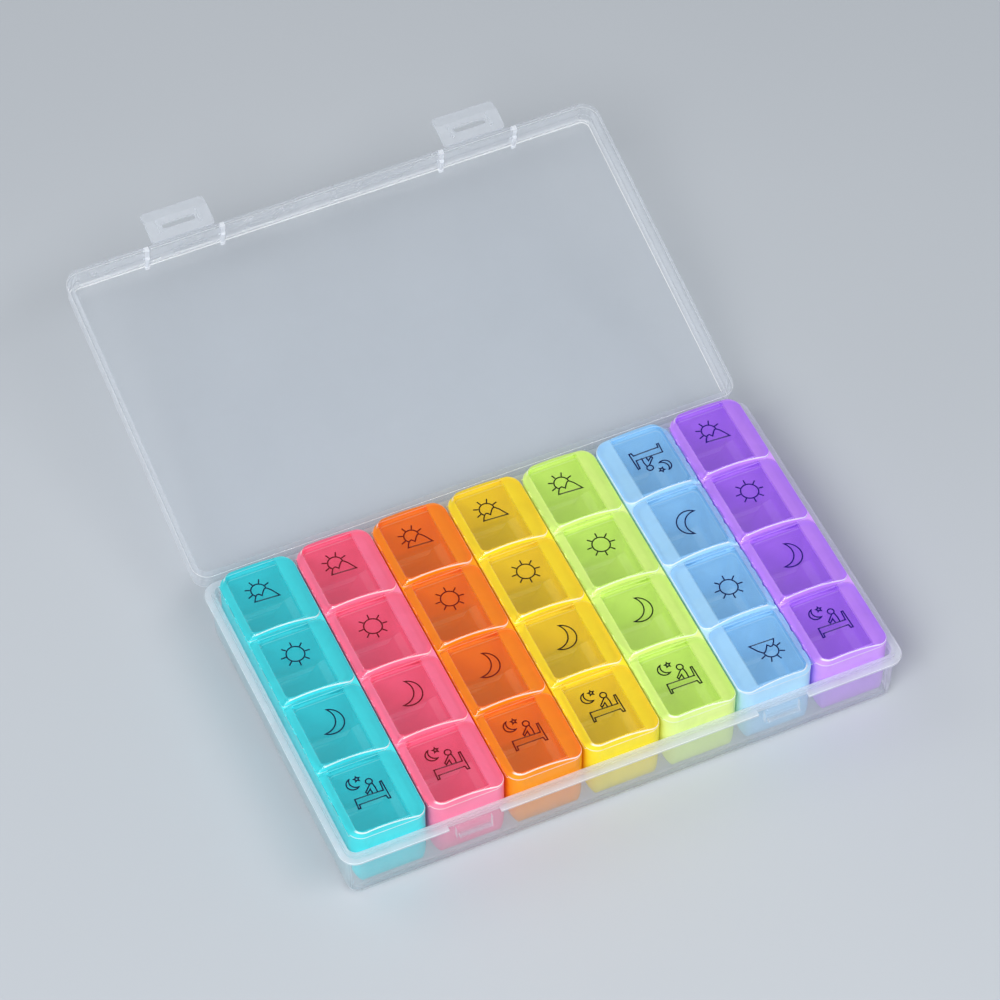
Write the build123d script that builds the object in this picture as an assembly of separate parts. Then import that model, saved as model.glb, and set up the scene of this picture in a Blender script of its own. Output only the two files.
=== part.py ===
from build123d import *
import os

# A weekly pill box: a clear hinged case that holds seven coloured strips, each
# with four lidded compartments. Lengths are in mm and angles in degrees. The
# origin is at the middle of the case's underside, X runs along the case, Y runs
# back towards the case hinge and Z is up.

# Strips: the number of strips and of compartments, and their spacing
strip_names = ("teal", "pink", "orange", "yellow", "green", "blue", "purple")
reversed_strips = ("blue",)
strip_pitch = 24.0
row_count = 4
row_pitch = 25.3

# Room around the strips in the closed case
play_along_case = 1.2
play_across_case = 1.5
play_above_strips = 0.3

# Case, closed
case_corner_radius = 5.0

# Case base: a drafted tray with a flange and a low lip above the flange
base_wall = 1.1
base_floor = 1.4
base_draft = 1.8
base_bottom_radius = 2.5
flange_top = 18.7
flange_thickness = 1.0
flange_overhang = 1.8
flange_edge_radius = 0.3
lip_height = 1.1
lip_wall = 0.9
cavity_bottom_radius = 1.3

# Catches on the front wall, one below each gap in the flange
catch_spacing = 96.0
flange_gap = 16.0
catch_length = 11.0
catch_block_below = 1.3
catch_block_above = 1.5
catch_block_depth = 1.3
catch_ridge_bottom = 13.9
catch_ridge_height = 1.2
catch_ridge_depth = 2.6
catch_ridge_length = 10.0

# Case lid: a shallow tray with a thicker band around its rim
lid_rim_gap = 0.1
lid_rim_width = 1.75
lid_band_height = 2.4
lid_band_step = 0.5
lid_inner_step = 0.4
lid_inner_step_height = 3.6
lid_panel = 1.2
lid_outer_radius = 1.6
lid_inner_radius = 0.8
lid_rib_radius = 0.7
lid_rib_offsets = (-11.9, 12.6)
lid_open_angle = 165.5

# Film hinge between the case base and the case lid
case_hinge_setback = 0.8
case_hinge_rise = 0.3
case_hinge_film = 0.4
case_hinge_inset = 12.5

# Latches: plates on film hinges at the front edge of the case lid
latch_length_x = 20.3
latch_reach = 10.9
latch_plate = 1.0
latch_film = 0.4
latch_film_reach = 0.3
latch_corner_radius = 1.2
latch_slot_side_gap = 0.4
latch_slot_upper_gap = 0.3
latch_slot_lower_gap = 0.4
latch_crease = 7.3
latch_tip_angle = 20.0
latch_rib_offset = 6.45
latch_rib_width = 0.8
latch_rib_height = 0.8
latch_rib_near = 2.2

# Strip box
strip_hinge_room = 0.5
strip_side_gap = 0.3
strip_height = 22.6
strip_corner_radius = 4.0
strip_side_radius = 8.5
strip_wall = 1.1
strip_floor = 1.2
pocket_corner_radius = 2.9

# Compartment lids
cell_lid_gap = 0.5
cell_lid_setback = 0.1
cell_lid_height = 2.5
cell_lid_arch_radius = 50.0
cell_lid_crest_offset = -2.4
cell_lid_wall = 0.9
cell_lid_edge = 0.25
cell_lid_left_slope = 2.9
cell_lid_right_slope = 0.4
cell_lid_end_slope = 0.5
cell_lid_top_corner = 2.2
cell_lid_top_radius = 0.5
cell_lid_free_corner = 3.0
cell_lid_hinge_corner = 0.8
plug_clearance = 0.25
plug_wall = 0.8
plug_depth = 1.2

# Film hinge along each strip
strip_film = 0.25
strip_film_depth = 0.8
strip_film_inset = 4.85
strip_film_nick = 1.2
strip_film_nick_depth = 0.4
strip_film_tabs = 3
strip_film_tab_length = 5.0
strip_film_tab_pitch = 7.4

# Sizes that follow from the ones above
strip_wall_left = strip_hinge_room - strip_pitch / 2
strip_wall_right = strip_pitch / 2 - strip_side_gap
strip_half_length = (row_count * row_pitch - cell_lid_gap) / 2
strip_bottom = base_floor
strip_top = strip_bottom + strip_height
strip_pivot_x = strip_wall_left - strip_film
strip_film_half_length = strip_half_length - strip_film_inset
pocket_left = strip_wall_left + strip_wall
pocket_right = strip_wall_right - strip_wall
pocket_bottom = strip_bottom + strip_floor
pocket_length = row_pitch - 2 * strip_wall
cell_lid_length = row_pitch - cell_lid_gap
cell_lid_right = strip_wall_right - cell_lid_setback
cavity_length = len(strip_names) * strip_pitch + play_along_case
cavity_width = 2 * strip_half_length + play_across_case
wall_length = cavity_length + 2 * base_wall
wall_width = cavity_width + 2 * base_wall
case_length = wall_length + 2 * flange_overhang
case_width = wall_width + 2 * flange_overhang
case_height = strip_top + cell_lid_height + play_above_strips + lid_panel
wall_corner_radius = case_corner_radius - flange_overhang
cavity_corner_radius = wall_corner_radius - base_wall
flange_bottom = flange_top - flange_thickness
lip_top = flange_top + lip_height
lid_bottom = flange_top + lid_rim_gap
hinge_y = case_width / 2 + case_hinge_setback
hinge_z = flange_top + case_hinge_rise
case_hinge_length = case_length - 2 * case_hinge_inset
catch_ridge_top = catch_ridge_bottom + catch_ridge_height
catch_block_bottom = catch_ridge_bottom - catch_block_below
catch_block_top = catch_ridge_top + catch_block_above
latch_pivot_y = -case_width / 2 - latch_film_reach
latch_slot_length = catch_ridge_length + 2 * latch_slot_side_gap
latch_slot_near = lid_bottom - catch_ridge_top - latch_slot_upper_gap
latch_slot_far = lid_bottom - catch_ridge_bottom + latch_slot_lower_gap


def rounded_prism(length, width, radius, bottom, height, taper=0.0):
    """A prism with rounded corners, whose walls lean outwards by the taper."""
    outline = Plane.XY.offset(bottom) * RectangleRounded(length, width, radius)
    return extrude(outline, amount=height, taper=-taper)


def block(x_low, x_high, y_low, y_high, z_low, z_high):
    """A plain block between two limits along each axis."""
    solid = Box(x_high - x_low, y_high - y_low, z_high - z_low)
    return Pos((x_low + x_high) / 2, (y_low + y_high) / 2, (z_low + z_high) / 2) * solid


def leaned(size, draft, rise):
    """The size of a drafted outline after it is followed down by a rise."""
    return size - 2 * rise * tan_degrees(draft)


def tan_degrees(angle):
    """The tangent of an angle in degrees, from a unit vector turned by it."""
    turned = Vector(1, 0, 0).rotate(Axis.Z, angle)
    return turned.Y / turned.X


def catch(side):
    """One catch: a raised block on the front wall with a ridge for the latch."""
    centre = side * catch_spacing / 2
    face = -wall_width / 2
    root = face + base_wall / 2
    body = block(
        centre - catch_length / 2,
        centre + catch_length / 2,
        face - catch_block_depth,
        root,
        catch_block_bottom,
        catch_block_top,
    )
    corner = (face - catch_ridge_depth, catch_ridge_bottom)
    section = Polyline(
        (root, catch_ridge_bottom),
        corner,
        (corner[0], (catch_ridge_bottom + catch_ridge_top) / 2),
        (face - catch_block_depth, catch_ridge_top),
        (root, catch_ridge_top),
        (root, catch_ridge_bottom),
    )
    start = Plane.YZ.offset(centre - catch_ridge_length / 2)
    ridge = extrude(start * make_face(section), amount=catch_ridge_length)
    return body + ridge


def case_base():
    """The open tray of the case with its flange, lip and two catches."""
    outer = rounded_prism(
        leaned(wall_length, base_draft, flange_top),
        leaned(wall_width, base_draft, flange_top),
        wall_corner_radius,
        0,
        flange_top,
        base_draft,
    )
    outer = fillet(outer.faces().sort_by(Axis.Z)[0].edges(), base_bottom_radius)
    flange = rounded_prism(
        case_length, case_width, case_corner_radius, flange_bottom, flange_thickness
    )
    top = flange.faces().sort_by(Axis.Z)[-1].edges()
    low = flange.faces().sort_by(Axis.Z)[0].edges()
    flange = fillet(top + low, flange_edge_radius)
    for side in (-1, 1):
        centre = side * catch_spacing / 2
        flange -= block(
            centre - flange_gap / 2,
            centre + flange_gap / 2,
            -case_width,
            -wall_width / 2,
            0,
            case_height,
        )
    lip = rounded_prism(
        cavity_length + 2 * lip_wall,
        cavity_width + 2 * lip_wall,
        cavity_corner_radius + lip_wall,
        flange_bottom,
        lip_top - flange_bottom,
    )
    depth = lip_top - base_floor
    cavity = rounded_prism(
        leaned(cavity_length, base_draft, depth),
        leaned(cavity_width, base_draft, depth),
        cavity_corner_radius,
        base_floor,
        depth,
        base_draft,
    )
    cavity = fillet(cavity.faces().sort_by(Axis.Z)[0].edges(), cavity_bottom_radius)
    tray = outer + flange + lip - cavity
    for side in (-1, 1):
        tray += catch(side)
    return tray


def case_hinge():
    """The half of the film hinge that stays on the flange's back edge."""
    return block(
        -case_hinge_length / 2,
        case_hinge_length / 2,
        case_width / 2,
        hinge_y,
        hinge_z - case_hinge_film,
        hinge_z,
    )


def opened(shape):
    """A shape drawn on the closed case, turned back with the open case lid."""
    hinge = Axis((0, hinge_y, hinge_z), (-1, 0, 0))
    return shape.rotate(hinge, lid_open_angle)


def case_lid():
    """The case lid, drawn closed and then turned open."""
    band = rounded_prism(
        case_length, case_width, case_corner_radius, lid_bottom, lid_band_height
    )
    edges = band.faces().sort_by(Axis.Z)[-1].edges() + band.faces().sort_by(Axis.Z)[0].edges()
    band = fillet(edges, flange_edge_radius)
    crown = rounded_prism(
        case_length - 2 * lid_band_step,
        case_width - 2 * lid_band_step,
        case_corner_radius - lid_band_step,
        lid_bottom + lid_band_height / 2,
        case_height - lid_bottom - lid_band_height / 2,
    )
    crown = fillet(crown.faces().sort_by(Axis.Z)[-1].edges(), lid_outer_radius)
    mouth = rounded_prism(
        case_length - 2 * lid_rim_width,
        case_width - 2 * lid_rim_width,
        case_corner_radius - lid_rim_width,
        lid_bottom,
        lid_inner_step_height,
    )
    inset = lid_rim_width + lid_inner_step
    hollow = rounded_prism(
        case_length - 2 * inset,
        case_width - 2 * inset,
        case_corner_radius - inset,
        lid_bottom,
        case_height - lid_panel - lid_bottom,
    )
    hollow = fillet(hollow.faces().sort_by(Axis.Z)[-1].edges(), lid_inner_radius)
    shell = band + crown - mouth - hollow
    front = -case_width / 2 + inset
    rib_bottom = lid_bottom + lid_inner_step_height
    rib_height = case_height - lid_panel / 2 - rib_bottom
    for side in (-1, 1):
        for offset in lid_rib_offsets:
            place = side * (catch_spacing / 2 + offset)
            rib = Pos(place, front, rib_bottom + rib_height / 2) * Cylinder(
                lid_rib_radius, rib_height
            )
            shell += rib
    # The lid's half of the film hinge lies on the hinge plane, above it when closed.
    shell += block(
        -case_hinge_length / 2,
        case_hinge_length / 2,
        case_width / 2 - lid_rim_width / 2,
        hinge_y,
        hinge_z,
        hinge_z + case_hinge_film,
    )
    for side in (-1, 1):
        centre = side * catch_spacing / 2
        shell += block(
            centre - latch_length_x / 2 + latch_corner_radius,
            centre + latch_length_x / 2 - latch_corner_radius,
            latch_pivot_y,
            -case_width / 2 + lid_rim_width / 2,
            lid_bottom,
            lid_bottom + latch_film,
        )
    return opened(shell)


def latch(side):
    """One latch, drawn straight out from the closed lid and turned open with it."""
    centre = side * catch_spacing / 2
    near = latch_pivot_y - latch_film_reach
    bend = latch_pivot_y - latch_crease
    far = latch_pivot_y - latch_reach
    drop = (bend - far) * tan_degrees(latch_tip_angle)
    top = lid_bottom + latch_plate
    section = Polyline(
        (latch_pivot_y, lid_bottom),
        (bend, lid_bottom),
        (far, lid_bottom + drop),
        (far, top + drop),
        (bend, top),
        (near, top),
        (near, lid_bottom + latch_film),
        (latch_pivot_y, lid_bottom + latch_film),
        (latch_pivot_y, lid_bottom),
    )
    start = Plane.YZ.offset(centre - latch_length_x / 2)
    plate = extrude(start * make_face(section), amount=latch_length_x)
    middle = (latch_pivot_y + far) / 2
    outline = Pos(centre, middle) * RectangleRounded(
        latch_length_x, latch_reach, latch_corner_radius
    )
    plate = plate & extrude(outline, amount=2 * case_height)
    slot_middle = latch_pivot_y - (latch_slot_near + latch_slot_far) / 2
    slot = Pos(centre, slot_middle) * SlotOverall(
        latch_slot_length, latch_slot_far - latch_slot_near
    )
    plate -= extrude(slot, amount=2 * case_height)
    rib_far = latch_crease - latch_rib_width
    for hand in (-1, 1):
        x = centre + hand * latch_rib_offset
        plate += block(
            x - latch_rib_width / 2,
            x + latch_rib_width / 2,
            latch_pivot_y - rib_far,
            latch_pivot_y - latch_rib_near,
            lid_bottom - latch_rib_height,
            lid_bottom + latch_plate / 2,
        )
    return opened(plate)


def row_centre(row):
    """Where a compartment is along Y, row 0 being nearest the case hinge."""
    return ((row_count - 1) / 2 - row) * row_pitch


def u_prism(x_low, x_high, half_length, bottom, top, side_radius, corner_radius):
    """A block with rounded corners, rounded ends below and a U-shaped bottom."""
    width = x_high - x_low
    rounds = Pos((x_low + x_high) / 2, 0) * RectangleRounded(
        width, 2 * half_length, corner_radius
    )
    prism = extrude(Plane.XY.offset(bottom) * rounds, amount=top - bottom)
    above = 2 * (top - bottom)
    front = Pos((x_low + x_high) / 2, bottom + above / 2) * RectangleRounded(
        width, above, side_radius
    )
    trough = extrude(Plane.XZ.offset(-half_length) * front, amount=2 * half_length)
    side = Pos(0, bottom + above / 2) * RectangleRounded(
        2 * half_length, above, corner_radius
    )
    cradle = extrude(Plane.YZ.offset(x_low) * side, amount=width)
    return prism & trough & cradle


def strip_box():
    """One strip's box of four pockets, centred on its own place in the row."""
    box = u_prism(
        strip_wall_left,
        strip_wall_right,
        strip_half_length,
        strip_bottom,
        strip_top,
        strip_side_radius,
        strip_corner_radius,
    )
    pocket = u_prism(
        pocket_left,
        pocket_right,
        pocket_length / 2,
        pocket_bottom,
        strip_top,
        strip_side_radius - strip_wall,
        pocket_corner_radius,
    )
    for row in range(row_count):
        box -= Pos(0, row_centre(row), 0) * pocket
    return box


def strip_hinge():
    """The film along a strip's hinge side, nicked between its tabs."""
    film = block(
        strip_pivot_x,
        strip_wall_left,
        -strip_film_half_length,
        strip_film_half_length,
        strip_top - strip_film_depth,
        strip_top,
    )
    for row in range(row_count):
        for place in range(strip_film_tabs + 1):
            y = row_centre(row) + (place - strip_film_tabs / 2) * strip_film_tab_pitch
            film -= block(
                strip_pivot_x - strip_film,
                strip_wall_left + strip_film,
                y - strip_film_nick / 2,
                y + strip_film_nick / 2,
                strip_top - strip_film_nick_depth,
                strip_top + strip_film,
            )
    return film


def corner_spots(left, right, half, row, inset):
    """Each corner of a lid seen from above with the radius it is rounded to."""
    for end, last in ((1, 0), (-1, row_count - 1)):
        at_end = row == last
        free = strip_corner_radius if at_end else cell_lid_free_corner
        hinged = strip_corner_radius if at_end else cell_lid_hinge_corner
        for x, radius in ((right, free), (left, hinged)):
            yield (x, end * half), max(radius - inset, cell_lid_hinge_corner / 2)


def lid_outline(row, inset):
    """The lid's outline from above: square at the hinge, rounded where free."""
    left = strip_wall_left + inset
    right = cell_lid_right - inset
    half = cell_lid_length / 2 - inset
    outline = make_face(Polyline((left, half), (right, half), (right, -half), (left, -half), close=True))
    for (x, y), radius in corner_spots(left, right, half, row, inset):
        corner = [v for v in outline.vertices() if abs(v.X - x) + abs(v.Y - y) < 0.01]
        outline = fillet(corner, radius).face()
    return outline


def lid_top_outline(inset):
    """The outline of a lid's arched top, inside its four sloped sides."""
    left = strip_wall_left + cell_lid_left_slope + inset
    right = cell_lid_right - cell_lid_right_slope - inset
    half = cell_lid_length / 2 - cell_lid_end_slope - inset
    outline = Pos((left + right) / 2, 0) * RectangleRounded(
        right - left, 2 * half, cell_lid_top_corner
    )
    return outline.face()


def sloped_cap(low_outline, low, high_outline, high):
    """A cap whose sloped sides join an outline below to a smaller one above."""
    return loft(
        [Plane.XY.offset(low) * low_outline, Plane.XY.offset(high) * high_outline],
        ruled=True,
    )


def lid_arch(drop):
    """All that lies under the lid's arched roof, or under a roof lower by the drop."""
    crest = strip_top + cell_lid_height - drop
    centre = Pos(cell_lid_crest_offset, crest - cell_lid_arch_radius)
    start = Plane.XZ.offset(-cell_lid_length)
    return extrude(
        start * (centre * Circle(cell_lid_arch_radius)), amount=2 * cell_lid_length
    )


def lid_plug(inset, low, high):
    """The plug under a lid, or with its wall as the inset, the room inside it."""
    left = pocket_left + plug_clearance + inset
    right = pocket_right - plug_clearance - inset
    outline = RectangleRounded(
        right - left,
        pocket_length - 2 * plug_clearance - 2 * inset,
        pocket_corner_radius - plug_clearance - inset,
    )
    return extrude(Pos((left + right) / 2, 0, low) * outline, amount=high - low)


def cell_lid(row):
    """One compartment lid with its plug, drawn closed and moved to its row."""
    edge_top = strip_top + cell_lid_edge
    # The sloped cap rises past the crest, and the arch trims it.
    peak = edge_top + cell_lid_height
    rim = extrude(Plane.XY.offset(strip_top) * lid_outline(row, 0), amount=cell_lid_edge)
    cap = sloped_cap(lid_outline(row, 0), edge_top, lid_top_outline(0), peak)
    shell = (rim + cap) & lid_arch(0)
    roof = shell.faces().sort_by(Axis.Z)[-1]
    shell = fillet(roof.edges(), cell_lid_top_radius)
    low = strip_top - plug_depth
    ceiling = strip_top + cell_lid_wall
    hollow = sloped_cap(
        lid_outline(row, 2 * cell_lid_wall),
        ceiling,
        lid_top_outline(cell_lid_wall / 2),
        peak,
    )
    room = (hollow + lid_plug(plug_wall, low, ceiling)) & lid_arch(cell_lid_wall)
    lid = shell + lid_plug(0, low, strip_top) - room
    for place in range(strip_film_tabs):
        y = (place - (strip_film_tabs - 1) / 2) * strip_film_tab_pitch
        lid += block(
            strip_pivot_x,
            strip_wall_left + strip_film,
            y - strip_film_tab_length / 2,
            y + strip_film_tab_length / 2,
            strip_top,
            edge_top,
        )
    return Pos(0, row_centre(row), 0) * lid


def strip_place(index):
    """Where a strip stands, turned end for end if it is a reversed one."""
    x = (index - (len(strip_names) - 1) / 2) * strip_pitch
    turn = 180 if strip_names[index] in reversed_strips else 0
    return Pos(x, 0, 0) * Rot(0, 0, turn)


def save(shape, name):
    """Write one node."""
    shape.label = name
    export_step(shape, f"parts/{name}.step")


os.makedirs("parts", exist_ok=True)
save(case_base(), "case_base")
save(case_hinge(), "case_hinge")
save(case_lid(), "case_lid")
save(latch(-1), "latch_left")
save(latch(1), "latch_right")
box = strip_box()
film = strip_hinge()
lids = [cell_lid(row) for row in range(row_count)]
for index, name in enumerate(strip_names):
    place = strip_place(index)
    save(place * box, f"{name}_box")
    save(place * film, f"{name}_hinge")
    for row, lid in enumerate(lids):
        save(place * lid, f"{name}_lid_{row + 1}")
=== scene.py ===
"""A weekly pill box, dressed for the studio.

Seven dyed strips of lidded pockets lie in a clear hinged case.
"""

import logging
import math
from collections.abc import Iterable, Mapping
from dataclasses import dataclass
from enum import Enum

import bmesh
import bpy
from mathutils import Matrix, Vector


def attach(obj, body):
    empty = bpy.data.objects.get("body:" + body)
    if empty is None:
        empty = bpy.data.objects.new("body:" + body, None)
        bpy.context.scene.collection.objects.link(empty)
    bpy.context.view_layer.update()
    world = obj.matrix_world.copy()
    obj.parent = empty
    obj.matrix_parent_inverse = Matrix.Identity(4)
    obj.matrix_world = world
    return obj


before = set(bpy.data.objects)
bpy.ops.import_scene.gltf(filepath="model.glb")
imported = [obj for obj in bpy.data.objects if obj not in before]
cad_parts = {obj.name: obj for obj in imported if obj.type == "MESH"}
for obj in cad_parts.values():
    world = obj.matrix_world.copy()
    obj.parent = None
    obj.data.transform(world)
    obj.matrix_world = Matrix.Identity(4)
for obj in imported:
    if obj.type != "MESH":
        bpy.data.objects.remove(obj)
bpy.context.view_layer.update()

log = logging.getLogger("pill_box")
MM = 0.001
TINY = 1e-6
WHITE = "#FFFFFF"

Point = tuple[float, float]
Range = tuple[float, float]
Place = tuple[float, float, float]
Colour = tuple[float, float, float, float]
Tree = bpy.types.NodeTree
Socket = bpy.types.NodeSocket


def linear(code: str) -> Colour:
    """Turns a colour as it is seen on a screen into the light that it stands for.

    Args:
        code: An sRGB colour such as "#4FD9DF".

    Returns:
        Red, green, blue and a full alpha, in linear light.
    """
    parts = [int(code[i : i + 2], 16) / 255 for i in (1, 3, 5)]
    light = [p / 12.92 if p <= 0.04045 else ((p + 0.055) / 1.055) ** 2.4 for p in parts]
    return (light[0], light[1], light[2], 1.0)


def add_node(
    tree: Tree,
    kind: str,
    sockets: Mapping[str | int, object] | None = None,
    **settings: object,
) -> bpy.types.Node:
    """Adds a node to a tree, with its settings and what its sockets hold or are joined to.

    Args:
        tree: The node tree of a material or of the world.
        kind: The node's type, such as "ShaderNodeTexNoise".
        sockets: A number, colour or another node's output for each input, by name or place.
        settings: The node's own options, such as its operation.

    Returns:
        The new node.
    """
    node = tree.nodes.new(kind)
    for name, value in settings.items():
        setattr(node, name, value)
    for key, value in (sockets or {}).items():
        if isinstance(value, Socket):
            tree.links.new(value, node.inputs[key])
        else:
            node.inputs[key].default_value = value
    return node


def combine(
    tree: Tree, operation: str, first: Socket, second: Socket | float, clamp: bool = False
) -> Socket:
    """Works out one number from two.

    Args:
        tree: The node tree.
        operation: What is done with them, such as "MULTIPLY".
        first: The first number.
        second: The second number.
        clamp: Whether the result is held between 0 and 1.

    Returns:
        The result's socket.
    """
    sockets = {0: first, 1: second}
    settings = {"operation": operation, "use_clamp": clamp}
    return add_node(tree, "ShaderNodeMath", sockets, **settings).outputs[0]


def carry(
    tree: Tree,
    value: Socket,
    start: float,
    end: float,
    low: Socket | float = 0.0,
    high: Socket | float = 1.0,
    smooth: bool = False,
) -> Socket:
    """Carries a number from one range over to another, and holds it within that.

    Args:
        tree: The node tree.
        value: The number.
        start: The value that gives the low result.
        end: The value that gives the high result.
        low: The result at the start and before it.
        high: The result at the end and past it.
        smooth: Whether it leaves and arrives gently.

    Returns:
        The result's socket.
    """
    sockets = {0: value, 1: start, 2: end, 3: low, 4: high}
    kind = "SMOOTHSTEP" if smooth else "LINEAR"
    return add_node(tree, "ShaderNodeMapRange", sockets, interpolation_type=kind).outputs[0]


def noise(
    tree: Tree,
    place: Socket,
    patch_mm: float,
    detail: float = 2.0,
    roughness: float = 0.5,
    distortion: float = 0.0,
) -> Socket:
    """Noise with patches of a real size.

    Args:
        tree: The node tree.
        place: The point on the piece, in metres.
        patch_mm: The size of a patch.
        detail: How many finer layers lie over the patches.
        roughness: How strong the finer layers are.
        distortion: How much the patches are drawn out.

    Returns:
        A socket between 0 and 1.
    """
    sockets = {
        "Vector": place,
        "Scale": 1 / (patch_mm * MM),
        "Detail": detail,
        "Roughness": roughness,
        "Distortion": distortion,
    }
    return add_node(tree, "ShaderNodeTexNoise", sockets).outputs["Fac"]


def bumps(tree: Tree, relief: Socket, strength: float, height_mm: float) -> Socket:
    """Turns a relief into the way that the surface faces.

    Args:
        tree: The node tree.
        relief: The relief, from 0 to 1.
        strength: How strongly it shows.
        height_mm: How high it is.

    Returns:
        The normal's socket.
    """
    sockets = {"Height": relief, "Strength": strength, "Distance": height_mm * MM}
    return add_node(tree, "ShaderNodeBump", sockets).outputs["Normal"]


def see_through(tree: Tree, code: str) -> Socket:
    """A shader that lets light of one colour straight through."""
    return add_node(tree, "ShaderNodeBsdfTransparent", {"Color": linear(code)}).outputs[0]


def blend(tree: Tree, share: Socket | float, first: Socket, second: Socket) -> Socket:
    """Mixes two shaders, of which the second gets the given share."""
    return add_node(tree, "ShaderNodeMixShader", {0: share, 1: first, 2: second}).outputs[0]


def part_of(tree: Tree, vector: Socket, axis: str) -> Socket:
    """The X, Y or Z of a vector."""
    return add_node(tree, "ShaderNodeSeparateXYZ", {0: vector}).outputs[axis]


def new_material(name: str) -> tuple[bpy.types.Material, Tree, Socket]:
    """Starts an empty material.

    Args:
        name: What the surface is made of and how.

    Returns:
        The material, its node tree and the socket that takes its surface.
    """
    material = bpy.data.materials.new(name)
    material.use_nodes = True
    tree = material.node_tree
    tree.nodes.clear()
    output = add_node(tree, "ShaderNodeOutputMaterial")
    return material, tree, output.inputs["Surface"]


def coat_with(piece: bpy.types.Object, material: bpy.types.Material) -> None:
    """Gives every face of a piece one material."""
    slots = piece.data.materials
    if not slots:
        slots.append(material)
    for index in range(len(slots)):
        slots[index] = material


def place_mesh(mesh: bmesh.types.BMesh, name: str) -> bpy.types.Object:
    """Puts a finished mesh into the scene.

    Args:
        mesh: The mesh, which is used up.
        name: The new piece's name.

    Returns:
        The piece.
    """
    data = bpy.data.meshes.new(name)
    mesh.to_mesh(data)
    mesh.free()
    piece = bpy.data.objects.new(name, data)
    bpy.context.scene.collection.objects.link(piece)
    return piece


@dataclass(frozen=True)
class LidArch:
    """The arch of a lid's roof across its strip, in mm from the strip's middle."""

    crest_height: float = 26.5
    crest_offset: float = -2.4
    radius: float = 50.0

    def height(self, x: float) -> float:
        """How high the roof's top is at a distance from the middle of the strip, in mm."""
        reach = x - self.crest_offset
        return self.crest_height - self.radius + math.sqrt(self.radius**2 - reach**2)


@dataclass(frozen=True)
class RoofBands:
    """The narrow bands along the edges of a strip's arched roofs, where a highlight is painted,
    in mm in the case.
    """

    axis_x: float
    axis_z: float
    radius: float
    edge_depth: float = 0.5
    edge_blend: float = 0.1
    bead_low: float = 23.99
    bead_rise: float = 0.02
    bead_high: float = 24.3
    bead_fade: float = 0.1
    # How strong the painted highlight is on the lower rim, against the roof's edge
    bead_highlight_share: float = 0.75

    def find(self, tree: Tree, place: Socket) -> Socket:
        """Finds where a lid is within a hair's breadth of its roof's edge or its lower rim,
        where a highlight is painted.

        Args:
            tree: The material's node tree.
            place: The point on the piece, in metres in the case.

        Returns:
            A socket that is 1 at the roof's edge, a little less on the rim and 0 elsewhere.
        """
        sockets = {0: place, 1: (self.axis_x * MM, 0.0, self.axis_z * MM)}
        spoke = add_node(tree, "ShaderNodeVectorMath", sockets, operation="SUBTRACT").outputs[0]
        sockets = {0: spoke, 1: (1.0, 0.0, 1.0)}
        across = add_node(tree, "ShaderNodeVectorMath", sockets, operation="MULTIPLY").outputs[0]
        reach = add_node(tree, "ShaderNodeVectorMath", {0: across}, operation="LENGTH")
        inner = self.radius - self.edge_depth
        crown = carry(tree, reach.outputs["Value"], (inner - self.edge_blend) * MM, inner * MM)
        height = part_of(tree, place, "Z")
        over = carry(tree, height, (self.bead_low - self.bead_rise) * MM, self.bead_low * MM)
        top = self.bead_high
        under = carry(tree, height, top * MM, (top + self.bead_fade) * MM, self.bead_highlight_share, 0.0)
        return combine(tree, "MAXIMUM", crown, combine(tree, "MULTIPLY", over, under))


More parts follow.
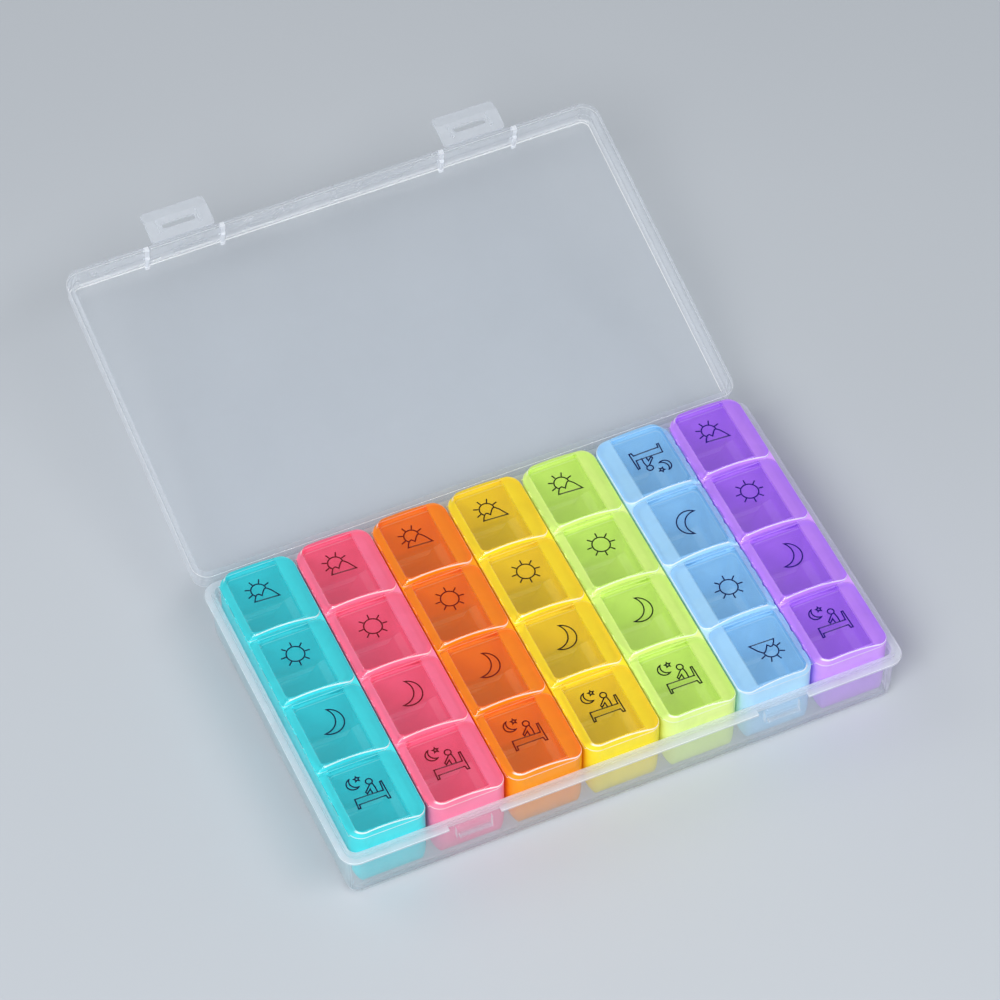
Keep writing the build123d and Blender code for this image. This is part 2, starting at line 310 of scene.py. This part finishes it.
@dataclass(frozen=True)
class MouldedPolypropylene:
    """Polypropylene, injection moulded in a polished mould.

    Its thin walls let light through and scatter some of it. The eye gets a soft milky body
    with crisp highlights, denser where a wall is seen along its length. A highlight is painted
    as a pale line where a wall rounds over, and shade is painted on the floors of pockets.
    A density is the share of the light that one skin scatters, and a level is 0 on an upright
    wall and 1 on a flat one.
    """

    name: str
    scattered: str
    passed: str
    flat_density: float
    side_density: float
    edge_density: float
    glow: float
    roughness: float
    # The strength of a highlight painted as a pale line where a wall rounds over
    painted_highlight_strength: float = 0.0
    rim_density: float = 0.0
    rim_axis: Place = (0.0, 0.0, 1.0)
    rim_start_mm: float = 1000.0
    rim_blend_mm: float = 0.4
    rib_places: tuple[float, ...] = ()
    rib_radius: float = 0.7
    roof: RoofBands | None = None
    # Painted shade: the share of the colour kept low in the piece, fading out between floor_mm
    # and bright_mm
    painted_floor_shade_tone: float = 1.0
    floor_mm: float = 2.5
    bright_mm: float = 9.0
    ior: float = 1.42
    lit_share: float = 0.0
    wall_levels: Range = (0.6, 0.93)
    bend_start_levels: Range = (0.25, 0.4)
    bend_end_levels: Range = (0.66, 0.73)
    edge_start: float = 0.35
    flow_mm: float = 14.0
    flow_detail: float = 3.0
    flow_roughness: float = 0.55
    flow_distortion: float = 0.6
    flow_range: Range = (0.3, 0.7)
    flow_share: float = 0.1
    skin_range: Range = (0.25, 0.75)
    skin_spread: Range = (0.85, 1.2)
    grain_mm: float = 0.9
    grain_height_mm: float = 0.004
    grain_strength: float = 0.3
    mirror_power: float = 5.0
    mirror_most: float = 0.9

    def at_the_ribs(self, tree: Tree, place: Socket) -> Socket:
        """Finds where a wall stands level with one of its small ribs, along its length.

        Args:
            tree: The material's node tree.
            place: The point on the piece, in metres in the case.

        Returns:
            A socket that is 1 at the ribs and 0 between them.
        """
        along = part_of(tree, place, "X")
        found: Socket | float = 0.0
        for rib in self.rib_places:
            sockets = {0: along, 1: rib * MM, 2: self.rib_radius * MM}
            here = add_node(tree, "ShaderNodeMath", sockets, operation="COMPARE").outputs[0]
            found = combine(tree, "MAXIMUM", here, found)
        return found

    def wall_density(self, tree: Tree, place: Socket, level: Socket) -> Socket:
        """How much of the light one skin scatters, seen face on.

        Args:
            tree: The material's node tree.
            place: The point on the piece, in metres in the case.
            level: How level the surface is, from 0 to 1.

        Returns:
            The share's socket.
        """
        # Roofs and floors are seen across their thin wall, upright walls along it
        densities = (self.side_density, self.flat_density)
        wall = carry(tree, level, *self.wall_levels, *densities, smooth=True)
        # Past the start of the rim the moulding is thicker, so more of the light stays in it
        sockets = {0: place, 1: self.rim_axis}
        along = add_node(tree, "ShaderNodeVectorMath", sockets, operation="DOT_PRODUCT")
        start, end = (self.rim_start_mm - self.rim_blend_mm) * MM, self.rim_start_mm * MM
        thick = carry(tree, along.outputs["Value"], start, end, 0.0, self.rim_density)
        if self.rib_places:
            thick = combine(tree, "MULTIPLY", thick, self.at_the_ribs(tree, place))
        return combine(tree, "MAXIMUM", wall, thick)

    def painted_highlight_line(self, tree: Tree, place: Socket, level: Socket) -> Socket:
        """Finds where a wall rounds over, where a highlight is painted as a pale line.

        Args:
            tree: The material's node tree.
            place: The point on the piece, in metres in the case.
            level: How level the surface is, from 0 to 1.

        Returns:
            How strong the painted highlight is, from 0 to the finish's full strength of it.
        """
        fall = carry(tree, level, *self.bend_end_levels, self.painted_highlight_strength, 0.0)
        if self.roof:
            return combine(tree, "MULTIPLY", fall, self.roof.find(tree, place))
        rise = carry(tree, level, *self.bend_start_levels)
        return combine(tree, "MULTIPLY", rise, fall)

    def body_colour(self, tree: Tree, place: Socket, line: Socket) -> Socket:
        """The dye's colour, darkened on the floor as painted shade and paled in the bent skin as
        a painted highlight.

        Args:
            tree: The material's node tree.
            place: The point on the piece, in metres in the case.
            line: How strong the painted highlight is, from 0 to 1.

        Returns:
            The colour's socket.
        """
        # Painted shade: the colour is darkened low in the piece, on the pocket floors, where
        # less light comes
        height = part_of(tree, place, "Z")
        rise = carry(tree, height, self.floor_mm * MM, self.bright_mm * MM, smooth=True)
        dyed = add_node(tree, "ShaderNodeValToRGB", {0: rise})
        red, green, blue, alpha = linear(self.scattered)
        tone = self.painted_floor_shade_tone
        dyed.color_ramp.elements[0].color = (red * tone, green * tone, blue * tone, alpha)
        dyed.color_ramp.elements[1].color = (red, green, blue, alpha)
        # Painted highlight: the colour turns towards white where a wall rounds over
        sockets = {0: line, 6: dyed.outputs[0], 7: linear(WHITE)}
        return add_node(tree, "ShaderNodeMix", sockets, data_type="RGBA").outputs[2]

    def build(self) -> bpy.types.Material:
        """Makes the material: see-through tint, scattered body colour and a glossy skin.

        Returns:
            The material, with the haze of the moulding's flow and a fine ripple.
        """
        material, tree, surface = new_material(self.name)
        spot = add_node(tree, "ShaderNodeTexCoord").outputs
        place = spot["Object"]
        # Moulding flow: cloudy bands a centimetre or two long, where the melt cooled unevenly
        look = (self.flow_detail, self.flow_roughness, self.flow_distortion)
        flow = noise(tree, place, self.flow_mm, *look)
        grain = noise(tree, place, self.grain_mm)
        ripple = bumps(tree, grain, self.grain_strength, self.grain_height_mm)
        seen = add_node(tree, "ShaderNodeLayerWeight", {"Normal": ripple})
        facing = seen.outputs["Facing"]
        sockets = {0: part_of(tree, spot["Normal"], "Z")}
        level = add_node(tree, "ShaderNodeMath", sockets, operation="ABSOLUTE").outputs[0]
        # Painted highlight: where a wall rounds over, the skin is made pale and denser in place
        # of the lamps' reflection
        line = self.painted_highlight_line(tree, place, level)
        wall = combine(tree, "MAXIMUM", self.wall_density(tree, place, level), line)
        dense = carry(tree, facing, self.edge_start, 1.0, wall, self.edge_density, smooth=True)
        hazes = (1 - self.flow_share, 1 + self.flow_share)
        haze = carry(tree, flow, *self.flow_range, *hazes)
        share = combine(tree, "MULTIPLY", dense, haze, clamp=True)
        skins = (self.roughness * spread for spread in self.skin_spread)
        skin = carry(tree, flow, *self.skin_range, *skins)
        colour = self.body_colour(tree, place, line)
        sockets = {"Base Color": colour, "Roughness": skin, "IOR": self.ior, "Normal": ripple}
        body = add_node(tree, "ShaderNodeBsdfPrincipled", sockets).outputs[0]
        sockets = {"Color": colour, "Normal": ripple}
        lit_through = add_node(tree, "ShaderNodeBsdfTranslucent", sockets).outputs[0]
        milky = blend(tree, self.glow, body, lit_through)
        sockets = {"Color": linear(WHITE), "Roughness": skin, "Normal": ripple}
        gloss = add_node(tree, "ShaderNodeBsdfGlossy", sockets).outputs[0]
        # A polished skin mirrors a few hundredths of the light face on and far more at a glance
        glance = combine(tree, "POWER", facing, self.mirror_power)
        face_on = ((self.ior - 1) / (self.ior + 1)) ** 2
        mirror = carry(tree, glance, 0.0, 1.0, face_on, self.mirror_most)
        polished = blend(tree, mirror, see_through(tree, self.passed), gloss)
        shader = blend(tree, share, polished, milky)
        # The dyed wall isn't opaque to the lamps: what stands behind it is lit in its colour
        shadow = add_node(tree, "ShaderNodeLightPath").outputs["Is Shadow Ray"]
        passing = combine(tree, "MULTIPLY", share, self.lit_share)
        reaching = combine(tree, "MULTIPLY", shadow, passing)
        lit = blend(tree, reaching, shader, see_through(tree, self.scattered))
        tree.links.new(lit, surface)
        return material


@dataclass(frozen=True)
class PadPrintInk:
    """Black pad-printing ink, stamped on the moulded lid in a film so thin that the dye shows.

    The eye gets a dark line, a little matt, that leans towards the colour of its strip.
    """

    name: str
    colour: str
    thinning: float = 0.006
    roughness: float = 0.55
    ior: float = 1.3
    mottle_mm: float = 0.7
    mottle_range: Range = (0.45, 0.75)
    rough_range: Range = (0.3, 0.7)
    rough_spread: float = 0.08

    def build(self) -> bpy.types.Material:
        """Makes the material: dark pigment, thinner in small patches where the pad lifted it.

        Returns:
            The material.
        """
        material, tree, surface = new_material(self.name)
        place = add_node(tree, "ShaderNodeTexCoord").outputs["Object"]
        mottle = noise(tree, place, self.mottle_mm)
        ramp = add_node(tree, "ShaderNodeValToRGB", {0: mottle})
        red, green, blue, alpha = linear(self.colour)
        more = self.thinning
        colours = ((red, green, blue, alpha), (red + more, green + more, blue + more, alpha))
        for index, colour in enumerate(colours):
            ramp.color_ramp.elements[index].position = self.mottle_range[index]
            ramp.color_ramp.elements[index].color = colour
        roughs = (self.roughness - self.rough_spread, self.roughness + self.rough_spread)
        rough = carry(tree, mottle, *self.rough_range, *roughs)
        sockets = {"Base Color": ramp.outputs[0], "Roughness": rough, "IOR": self.ior}
        body = add_node(tree, "ShaderNodeBsdfPrincipled", sockets).outputs[0]
        tree.links.new(body, surface)
        return material


@dataclass(frozen=True)
class CoatedBoard:
    """Coated board, rolled smooth: the pale sheet under the object, matt with a faint tooth.

    The eye gets a quiet grey ground that takes soft shadows.
    """

    name: str = "coated_board_rolled"
    colour: str = "#B4BAC1"
    far_colour: str = "#BFC4CA"
    roughness: float = 0.55
    cloud_mm: float = 1000 / 3
    tooth_mm: float = 1.2
    tooth_height_mm: float = 0.02
    tooth_strength: float = 0.1

    def build(self) -> bpy.types.Material:
        """Makes the material: a pale grey with a broad, slight unevenness and a fine tooth.

        Returns:
            The material.
        """
        material, tree, surface = new_material(self.name)
        place = add_node(tree, "ShaderNodeTexCoord").outputs["Object"]
        tone = add_node(tree, "ShaderNodeValToRGB", {0: noise(tree, place, self.cloud_mm)})
        for index, code in enumerate((self.colour, self.far_colour)):
            tone.color_ramp.elements[index].color = linear(code)
        tooth = noise(tree, place, self.tooth_mm)
        bump = bumps(tree, tooth, self.tooth_strength, self.tooth_height_mm)
        sockets = {"Base Color": tone.outputs[0], "Roughness": self.roughness, "Normal": bump}
        body = add_node(tree, "ShaderNodeBsdfPrincipled", sockets).outputs[0]
        tree.links.new(body, surface)
        return material


class Dye(Enum):
    """The seven strips from left to right.

    Each has the colour that it scatters, the colour that it lets through, the tone of the ink
    on it, and how much of its colour is left on the floors of its pockets as painted shade,
    where less light comes.
    """

    TEAL = ("teal", "#54E9EF", "#EAFDFE", "#021038", 0.8)
    PINK = ("pink", "#FF92B6", "#FFEEF4", "#56020A", 0.82)
    ORANGE = ("orange", "#FFA71E", "#FFF4E4", "#620400", 0.7)
    YELLOW = ("yellow", "#FFEE36", "#FFFCE8", "#1A0C00", 0.64)
    GREEN = ("green", "#EDFDA2", "#FBFFF2", "#020A02", 0.8)
    BLUE = ("blue", "#C1E9FF", "#F4FBFF", "#020C44", 0.82)
    PURPLE = ("purple", "#DBA7FE", "#F6EEFF", "#0E046A", 0.82)

    @property
    def title(self) -> str:
        """The strip's name, as its nodes and bodies have it."""
        return self.value[0]

    @property
    def scattered(self) -> str:
        """The colour of the light that the strip's plastic scatters."""
        return self.value[1]

    @property
    def passed(self) -> str:
        """The colour of the light that one skin of it lets through."""
        return self.value[2]

    @property
    def ink(self) -> str:
        """The tone of black ink on it."""
        return self.value[3]

    @property
    def painted_floor_shade_tone(self) -> float:
        """The share of its colour left on the floors of its pockets, as painted shade."""
        return self.value[4]

    @property
    def place(self) -> int:
        """The strip's place in the case, from 0 at the left."""
        return list(Dye).index(self)

    @property
    def reversed(self) -> bool:
        """Whether the strip lies end for end in the case."""
        return self is Dye.BLUE


class Mark(Enum):
    """The four pictures on a strip, in the order of the day, by the number of their lid."""

    SUNRISE = 1
    SUN = 2
    MOON = 3
    BEDTIME = 4


@dataclass(frozen=True)
class Line:
    """A drawn line through points in mm, closed or open."""

    points: tuple[Point, ...]
    closed: bool = False


def polar(centre: Point, radius: float, degrees: float) -> Point:
    """The point at a distance and in a direction from a centre."""
    angle = math.radians(degrees)
    return centre[0] + radius * math.cos(angle), centre[1] + radius * math.sin(angle)


def arc(
    centre: Point, radius: float, start: float, sweep: float, step: float = 9.0
) -> tuple[Point, ...]:
    """Points along an arc.

    Args:
        centre: The arc's centre, in mm.
        radius: Its radius, in mm.
        start: The angle of its first point, in degrees.
        sweep: How far it turns, in degrees, counter-clockwise when positive.
        step: The angle between points, at most, in degrees.

    Returns:
        The points, both ends included unless the arc is a whole turn.
    """
    count = max(2, math.ceil(abs(sweep) / step))
    last = count if abs(sweep) >= 360 else count + 1
    return tuple(polar(centre, radius, start + sweep * i / count) for i in range(last))


def bowed(start: Point, end: Point, rise: float) -> tuple[Point, ...]:
    """Points along an arc between two ends.

    Args:
        start: The first end, in mm.
        end: The other end, in mm.
        rise: How far it bulges to the left of the way there, or to the right when negative.

    Returns:
        The points, both ends included.
    """
    chord = Vector(end) - Vector(start)
    half = chord.length / 2
    radius = (half * half + rise * rise) / (2 * rise)
    side = Vector((-chord.y, chord.x)).normalized()
    centre = (Vector(start) + Vector(end)) / 2 + side * (rise - radius)
    first = math.degrees(math.atan2(start[1] - centre.y, start[0] - centre.x))
    sweep = -4 * math.degrees(math.atan2(rise, half))
    return arc((centre.x, centre.y), abs(radius), first, sweep)


@dataclass
class PrintedMark:
    """One picture printed on a lid: lines of ink that follow the lid's slightly arched top.

    All sizes are in mm and all turns in degrees. Each line lies a step above the one before,
    so that no two films of ink share a surface where they cross.
    """

    mark: Mark
    arch: LidArch = LidArch()
    line_width: float = 0.4
    film: float = 0.03
    lift: float = 0.012
    layer_step: float = 0.002
    mitre_limit: float = 0.45
    sunrise_centre: Point = (-2.25, 2.2)
    sunrise_radius: float = 2.25
    sunrise_start: float = -2.0
    sunrise_sweep: float = 231.0
    sunrise_turn: float = 22.5
    sunrise_rays: int = 5
    sun_centre: Point = (-1.4, 2.0)
    sun_radius: float = 2.67
    sun_rays: int = 8
    ray_gap: float = 0.45
    ray_length: float = 1.1
    moon_tips: tuple[Point, Point] = ((-1.15, 5.6), (-4.65, -2.1))
    moon_bow: float = 5.3
    moon_hollow: float = 2.8
    hills: tuple[Point, ...] = (
        (-4.8, -1.35),
        (-4.3, -0.3),
        (-3.7, 0.55),
        (-3.25, 0.85),
        (-2.8, 0.9),
        (-2.05, 0.0),
        (-1.1, 1.4),
        (-0.45, 2.05),
        (-0.1, 2.15),
        (0.3, 1.9),
        (1.15, 0.95),
        (2.75, -1.7),
    )
    night_moon_tips: tuple[Point, Point] = ((-4.75, 6.1), (-3.1, 2.7))
    night_moon_bow: float = -2.35
    night_moon_hollow: float = -1.2
    star_centre: Point = (-2.75, 5.35)
    star_radius: float = 0.85
    star_inner: float = 0.42
    star_tips: int = 5
    head_centre: Point = (0.1, 3.3)
    head_radius: float = 0.95
    blanket: tuple[Point, ...] = (
        (-0.1, 2.3),
        (-2.15, 0.2),
        (-1.95, -0.5),
        (-0.6, 0.7),
        (-0.5, -0.7),
    )
    back: tuple[Point, ...] = ((0.7, 2.45), (0.95, 0.8), (0.9, -0.9))
    bed: tuple[Point, ...] = (
        (-5.9, -0.75),
        (-6.1, -4.15),
        (-5.5, -4.15),
        (-5.4, -2.9),
        (2.6, -2.9),
        (2.85, -4.05),
        (3.55, -4.05),
        (3.4, 2.2),
        (2.85, 2.15),
        (2.65, -0.95),
    )

    def rays(self, centre: Point, radius: float, turn: float, count: int) -> list[Line]:
        """The short rays of a sun.

        Args:
            centre: The sun's centre, in mm.
            radius: The sun's radius, in mm.
            turn: The direction of the first ray, in degrees.
            count: How many rays of a full sun there are, from the right round to the left.

        Returns:
            One line for each ray.
        """
        start = radius + self.ray_gap
        lines = []
        for index in range(count):
            way = turn + 360 / self.sun_rays * index
            ends = (start, start + self.ray_length)
            lines.append(Line(tuple(polar(centre, reach, way) for reach in ends)))
        return lines

    def crescent(self, tips: tuple[Point, Point], bow: float, hollow: float) -> Line:
        """Draws a crescent.

        Args:
            tips: Its two tips, in mm.
            bow: How far its outer side bulges, in mm.
            hollow: How far its inner side bulges, in mm.

        Returns:
            Its closed line.
        """
        outer = bowed(tips[0], tips[1], bow)
        inner = bowed(tips[0], tips[1], hollow)
        return Line(outer + tuple(reversed(inner))[1:-1], closed=True)

    def lines(self) -> list[Line]:
        """Draws the picture.

        Returns:
            Its lines, in mm from the middle of its compartment.
        """
        if self.mark is Mark.SUNRISE:
            sun = (self.sunrise_centre, self.sunrise_radius)
            disc = Line(arc(*sun, self.sunrise_start, self.sunrise_sweep))
            hills = Line(self.hills, closed=True)
            return [disc, hills, *self.rays(*sun, self.sunrise_turn, self.sunrise_rays)]
        if self.mark is Mark.SUN:
            sun = (self.sun_centre, self.sun_radius)
            disc = Line(arc(*sun, 0.0, 360.0), closed=True)
            return [disc, *self.rays(*sun, 0.0, self.sun_rays)]
        if self.mark is Mark.MOON:
            return [self.crescent(self.moon_tips, self.moon_bow, self.moon_hollow)]
        corners = 2 * self.star_tips
        radii = (self.star_radius, self.star_inner) * self.star_tips
        star = tuple(
            polar(self.star_centre, radius, 90 + 360 / corners * index)
            for index, radius in enumerate(radii)
        )
        return [
            self.crescent(self.night_moon_tips, self.night_moon_bow, self.night_moon_hollow),
            Line(star, closed=True),
            Line(arc(self.head_centre, self.head_radius, 0.0, 360.0), closed=True),
            Line(self.blanket),
            Line(self.back),
            Line(self.bed, closed=True),
        ]

    def sides(self, line: Line) -> list[tuple[Vector, Vector]]:
        """The two edges of a line of ink, mitred at its corners.

        Args:
            line: The line to give its width.

        Returns:
            The right and the left edge at each point of the line.
        """
        points = [Vector(p) for p in line.points]
        count = len(points)
        half = self.line_width / 2
        edges = []
        for index, point in enumerate(points):
            before = points[index - 1] if index or line.closed else None
            after = points[(index + 1) % count] if index < count - 1 or line.closed else None
            into = (after - point if before is None else point - before).normalized()
            out = into if after is None else (after - point).normalized()
            side = Vector((-into.y, into.x))
            along = (into + out).normalized() if (into + out).length > TINY else side
            across = Vector((-along.y, along.x))
            reach = half / max(self.mitre_limit, across.dot(side))
            if before is None:
                point = point - out * half
            if after is None:
                point = point + into * half
            edges.append((point - across * reach, point + across * reach))
        return edges

    def build(self, name: str, centre: Point, turned: bool) -> bpy.types.Object:
        """Makes the picture's ink as one thin mesh on its lid.

        Args:
            name: The new piece's name.
            centre: The middle of the compartment, in mm in the case.
            turned: Whether the strip lies end for end.

        Returns:
            The piece, in place.
        """
        mesh = bmesh.new()
        sign = -1.0 if turned else 1.0
        for layer, line in enumerate(self.lines()):
            rise = self.lift + self.layer_step * layer
            rows = []
            for pair in self.sides(line):
                corners = []
                for level in (rise + self.film, -self.lift):
                    for edge in pair:
                        x, y = centre[0] + sign * edge.x, centre[1] + sign * edge.y
                        z = self.arch.height(edge.x) + level
                        corners.append(mesh.verts.new((x * MM, y * MM, z * MM)))
                rows.append(corners)
            following = rows[1:] + rows[:1] if line.closed else rows[1:]
            for (a, b, c, d), (e, f, g, h) in zip(rows, following):
                mesh.faces.new((a, e, f, b))
                mesh.faces.new((c, d, h, g))
                mesh.faces.new((a, c, g, e))
                mesh.faces.new((b, f, h, d))
            if not line.closed:
                for a, b, c, d in (rows[0], rows[-1]):
                    mesh.faces.new((a, b, d, c))
        bmesh.ops.recalc_face_normals(mesh, faces=mesh.faces[:])
        return place_mesh(mesh, name)


@dataclass
class Strip:
    """One day's strip: its box of pockets, its film hinge, its four lids and their pictures."""

    dye: Dye
    arch: LidArch = LidArch()
    pitch: float = 24.0
    row_pitch: float = 25.3
    free_margin: float = 6.6
    lit_share: float = 0.65

    @property
    def sign(self) -> int:
        """1 where the strip's hinge is at the left, and -1 where it lies end for end."""
        return -1 if self.dye.reversed else 1

    @property
    def centre(self) -> float:
        """How far the strip's middle is from the middle of the case, in mm."""
        return (self.dye.place - (len(Dye) - 1) / 2) * self.pitch

    def box_finish(self) -> MouldedPolypropylene:
        """The box, whose thick walls scatter most of the light that meets them."""
        return MouldedPolypropylene(
            f"polypropylene_moulded_{self.dye.title}_box",
            self.dye.scattered,
            self.dye.passed,
            flat_density=0.97,
            side_density=0.97,
            edge_density=1.0,
            glow=0.12,
            roughness=0.12,
            # A painted highlight where the walls round over
            painted_highlight_strength=0.25,
            # Painted shade on the pocket floors, where less light comes
            painted_floor_shade_tone=self.dye.painted_floor_shade_tone,
            ior=1.3,
            lit_share=self.lit_share,
        )

    def hinge_finish(self) -> MouldedPolypropylene:
        """The film hinge, whose bent skin is duller, with a painted highlight where it rounds
        over.
        """
        return MouldedPolypropylene(
            f"polypropylene_bent_{self.dye.title}_hinge",
            self.dye.scattered,
            self.dye.passed,
            flat_density=0.97,
            side_density=0.97,
            edge_density=1.0,
            glow=0.2,
            roughness=0.25,
            # A painted highlight where the hinge rounds over
            painted_highlight_strength=0.5,
            lit_share=self.lit_share,
        )

    def lid_finish(self) -> MouldedPolypropylene:
        """The thin roof of the lids, which shows the pockets, and their thicker sides."""
        return MouldedPolypropylene(
            f"polypropylene_moulded_{self.dye.title}_lid",
            self.dye.scattered,
            self.dye.passed,
            flat_density=0.1,
            side_density=0.9,
            edge_density=0.9,
            glow=0.2,
            roughness=0.09,
            # A painted highlight along the roofs' edges and lower rims
            painted_highlight_strength=0.9,
            lit_share=self.lit_share,
            roof=RoofBands(
                self.centre + self.sign * self.arch.crest_offset,
                self.arch.crest_height - self.arch.radius,
                self.arch.radius,
            ),
            rim_density=0.5,
            rim_axis=(self.sign, 0.0, 0.0),
            rim_start_mm=self.sign * self.centre + self.free_margin,
            rim_blend_mm=0.8,
        )

    def lid_centre(self, number: int) -> Point:
        """The middle of a numbered lid, in mm in the case."""
        return self.centre, self.sign * ((len(Mark) + 1) / 2 - number) * self.row_pitch

    def build(self) -> None:
        """Dresses the strip's moulded pieces and prints its lids."""
        title = self.dye.title
        box = self.box_finish().build()
        lid = self.lid_finish().build()
        ink = PadPrintInk(f"pad_print_ink_stamped_{title}", self.dye.ink).build()
        coat_with(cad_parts[f"{title}_box"], box)
        coat_with(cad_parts[f"{title}_hinge"], self.hinge_finish().build())
        for mark in Mark:
            coat_with(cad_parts[f"{title}_lid_{mark.value}"], lid)
            piece = PrintedMark(mark, self.arch).build(
                f"{title}_print_{mark.value}", self.lid_centre(mark.value), self.dye.reversed
            )
            coat_with(piece, ink)
            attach(piece, f"{title}_lid_{mark.value}")
            log.info("printed %s on %s lid %d", mark.name.lower(), title, mark.value)
        log.info("dressed the %s strip", title)


@dataclass
class Case:
    """The clear case: base, film hinge, lid and two latches, all from one milky moulding.

    The open lid rises at an angle in radians, and its ribs start at a distance along it in mm.
    """

    scattered: str = "#F0F3F8"
    passed: str = "#FCFDFE"
    flat_density: float = 0.09
    side_density: float = 0.09
    edge_density: float = 0.85
    rim_density: float = 0.45
    base_rim_start: float = 17.4
    latch_density: float = 0.3
    rib_density: float = 0.95
    rib_offsets: tuple[float, float] = (-11.9, 12.6)
    latch_place: float = 48.0
    lid_rise: float = math.radians(14.5)
    lid_rib_start: float = 163.7
    below_all: float = -100.0

    def finish(
        self,
        name: str,
        rim_density: float,
        rim_start: float,
        rim_axis: Place = (0.0, 0.0, 1.0),
        rib_places: tuple[float, ...] = (),
    ) -> MouldedPolypropylene:
        """Undyed polypropylene: nearly clear seen face on, whitish along its rims and corners,
        with a painted highlight where it rounds over.

        Args:
            name: The piece that it is for.
            rim_density: How much light stays in one skin of the rim.
            rim_start: How far along its axis the rim starts, in mm.
            rim_axis: The way in which the rim is approached.
            rib_places: Where the ribs are, in mm to the right, if they alone are thick there.

        Returns:
            The finish.
        """
        return MouldedPolypropylene(
            f"polypropylene_moulded_clear_{name}",
            self.scattered,
            self.passed,
            self.flat_density,
            self.side_density,
            self.edge_density,
            glow=0.45,
            roughness=0.12,
            # A painted highlight where the walls round over
            painted_highlight_strength=0.92,
            rim_density=rim_density,
            rim_start_mm=rim_start,
            rim_axis=rim_axis,
            rib_places=rib_places,
            flow_mm=22.0,
            flow_share=0.12,
            grain_height_mm=0.0015,
        )

    def build(self) -> None:
        """Dresses the case's five moulded pieces."""
        base = self.finish("base", self.rim_density, self.base_rim_start).build()
        outward = (0.0, math.cos(self.lid_rise), math.sin(self.lid_rise))
        places = (self.latch_place + offset for offset in self.rib_offsets)
        ribs = tuple(side * place for place in places for side in (-1, 1))
        lid = self.finish("lid", self.rib_density, self.lid_rib_start, outward, ribs).build()
        latch = self.finish("latch", self.latch_density, self.below_all).build()
        for name, plastic in (
            ("case_base", base),
            ("case_hinge", lid),
            ("case_lid", lid),
            ("latch_left", latch),
            ("latch_right", latch),
        ):
            coat_with(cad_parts[name], plastic)
            log.info("dressed %s", name)


@dataclass(frozen=True)
class Softbox:
    """A wide, soft lamp: its place, size and target in metres, and its power in watts."""

    name: str
    place: Place
    size: tuple[float, float]
    watts: float
    target: Place = (0.0, 0.03, 0.02)

    def hang(self) -> None:
        """Hangs the lamp, turned to its target."""
        lamp = bpy.data.lights.new(self.name, "AREA")
        lamp.shape = "RECTANGLE"
        lamp.size, lamp.size_y = self.size
        lamp.energy = self.watts
        holder = bpy.data.objects.new(self.name, lamp)
        holder.location = self.place
        direction = Vector(self.target) - Vector(self.place)
        holder.rotation_euler = direction.to_track_quat("-Z", "Y").to_euler()
        bpy.context.scene.collection.objects.link(holder)
        log.info("hung %s", self.name)


@dataclass
class Studio:
    """The floor, the lamps, the surrounding light and the camera.

    The floor's radius and the clip distances are in metres, the camera's place, its lens and
    its sensor in mm.
    """

    board: CoatedBoard = CoatedBoard()
    floor_radius: float = 3.0
    floor_corners: int = 96
    world_colour: str = "#E9ECEF"
    world_strength: float = 0.27
    softboxes: tuple[Softbox, ...] = (
        Softbox("key_softbox", (-0.85, -0.75, 1.2), (0.8, 0.7), 19.3),
        Softbox("strip_softbox", (0.4, -0.75, 1.15), (1.1, 0.36), 9.0),
        Softbox("back_softbox", (-0.8, 0.8, 0.95), (0.8, 0.6), 2.5),
    )
    camera_place: Place = (-335.469, -711.568, 1052.128)
    camera_right: Place = (0.91124919, -0.41185027, -0.00206474)
    camera_up: Place = (0.32197435, 0.70924803, 0.62713615)
    lens: float = 162.25
    sensor: float = 36.0
    clip: Range = (0.05, 20.0)

    def floor(self) -> None:
        """Lays the pale sheet under the object."""
        mesh = bmesh.new()
        bmesh.ops.create_circle(
            mesh, cap_ends=True, segments=self.floor_corners, radius=self.floor_radius
        )
        piece = place_mesh(mesh, "floor")
        coat_with(piece, self.board.build())
        log.info("laid the floor")

    def world(self) -> None:
        """Surrounds the scene with a pale, even light."""
        world = bpy.data.worlds.new("studio")
        bpy.context.scene.world = world
        world.use_nodes = True
        tree = world.node_tree
        tree.nodes.clear()
        path = add_node(tree, "ShaderNodeLightPath").outputs
        sockets = {"Color": linear(self.world_colour), "Strength": self.world_strength}
        room = add_node(tree, "ShaderNodeBackground", sockets).outputs[0]
        sockets = {"Color": linear(self.board.far_colour)}
        behind = add_node(tree, "ShaderNodeBackground", sockets).outputs[0]
        seen = combine(tree, "MAXIMUM", path["Is Camera Ray"], path["Is Glossy Ray"])
        seen = combine(tree, "MAXIMUM", seen, path["Is Transmission Ray"])
        output = add_node(tree, "ShaderNodeOutputWorld")
        tree.links.new(blend(tree, seen, room, behind), output.inputs["Surface"])

    def camera(self) -> None:
        """Sets the camera up as the photograph was taken."""
        lens = bpy.data.cameras.new("camera")
        lens.lens = self.lens
        lens.sensor_width = self.sensor
        lens.clip_start, lens.clip_end = self.clip
        holder = bpy.data.objects.new("camera", lens)
        right, up = Vector(self.camera_right), Vector(self.camera_up)
        back = right.cross(up)
        turn = Matrix((right, up, back)).transposed().to_4x4()
        holder.matrix_world = Matrix.Translation(Vector(self.camera_place) * MM) @ turn
        bpy.context.scene.collection.objects.link(holder)
        bpy.context.scene.camera = holder

    def build(self) -> None:
        """Sets up everything round the object."""
        self.camera()
        self.world()
        self.floor()
        for softbox in self.softboxes:
            softbox.hang()
        bpy.context.scene.view_settings.view_transform = "Standard"


def main() -> None:
    """Builds the studio, the case and the seven strips."""
    logging.basicConfig(level=logging.INFO, format="%(name)s: %(message)s")
    Studio().build()
    Case().build()
    for dye in Dye:
        Strip(dye).build()


if __name__ == "__main__":
    main()
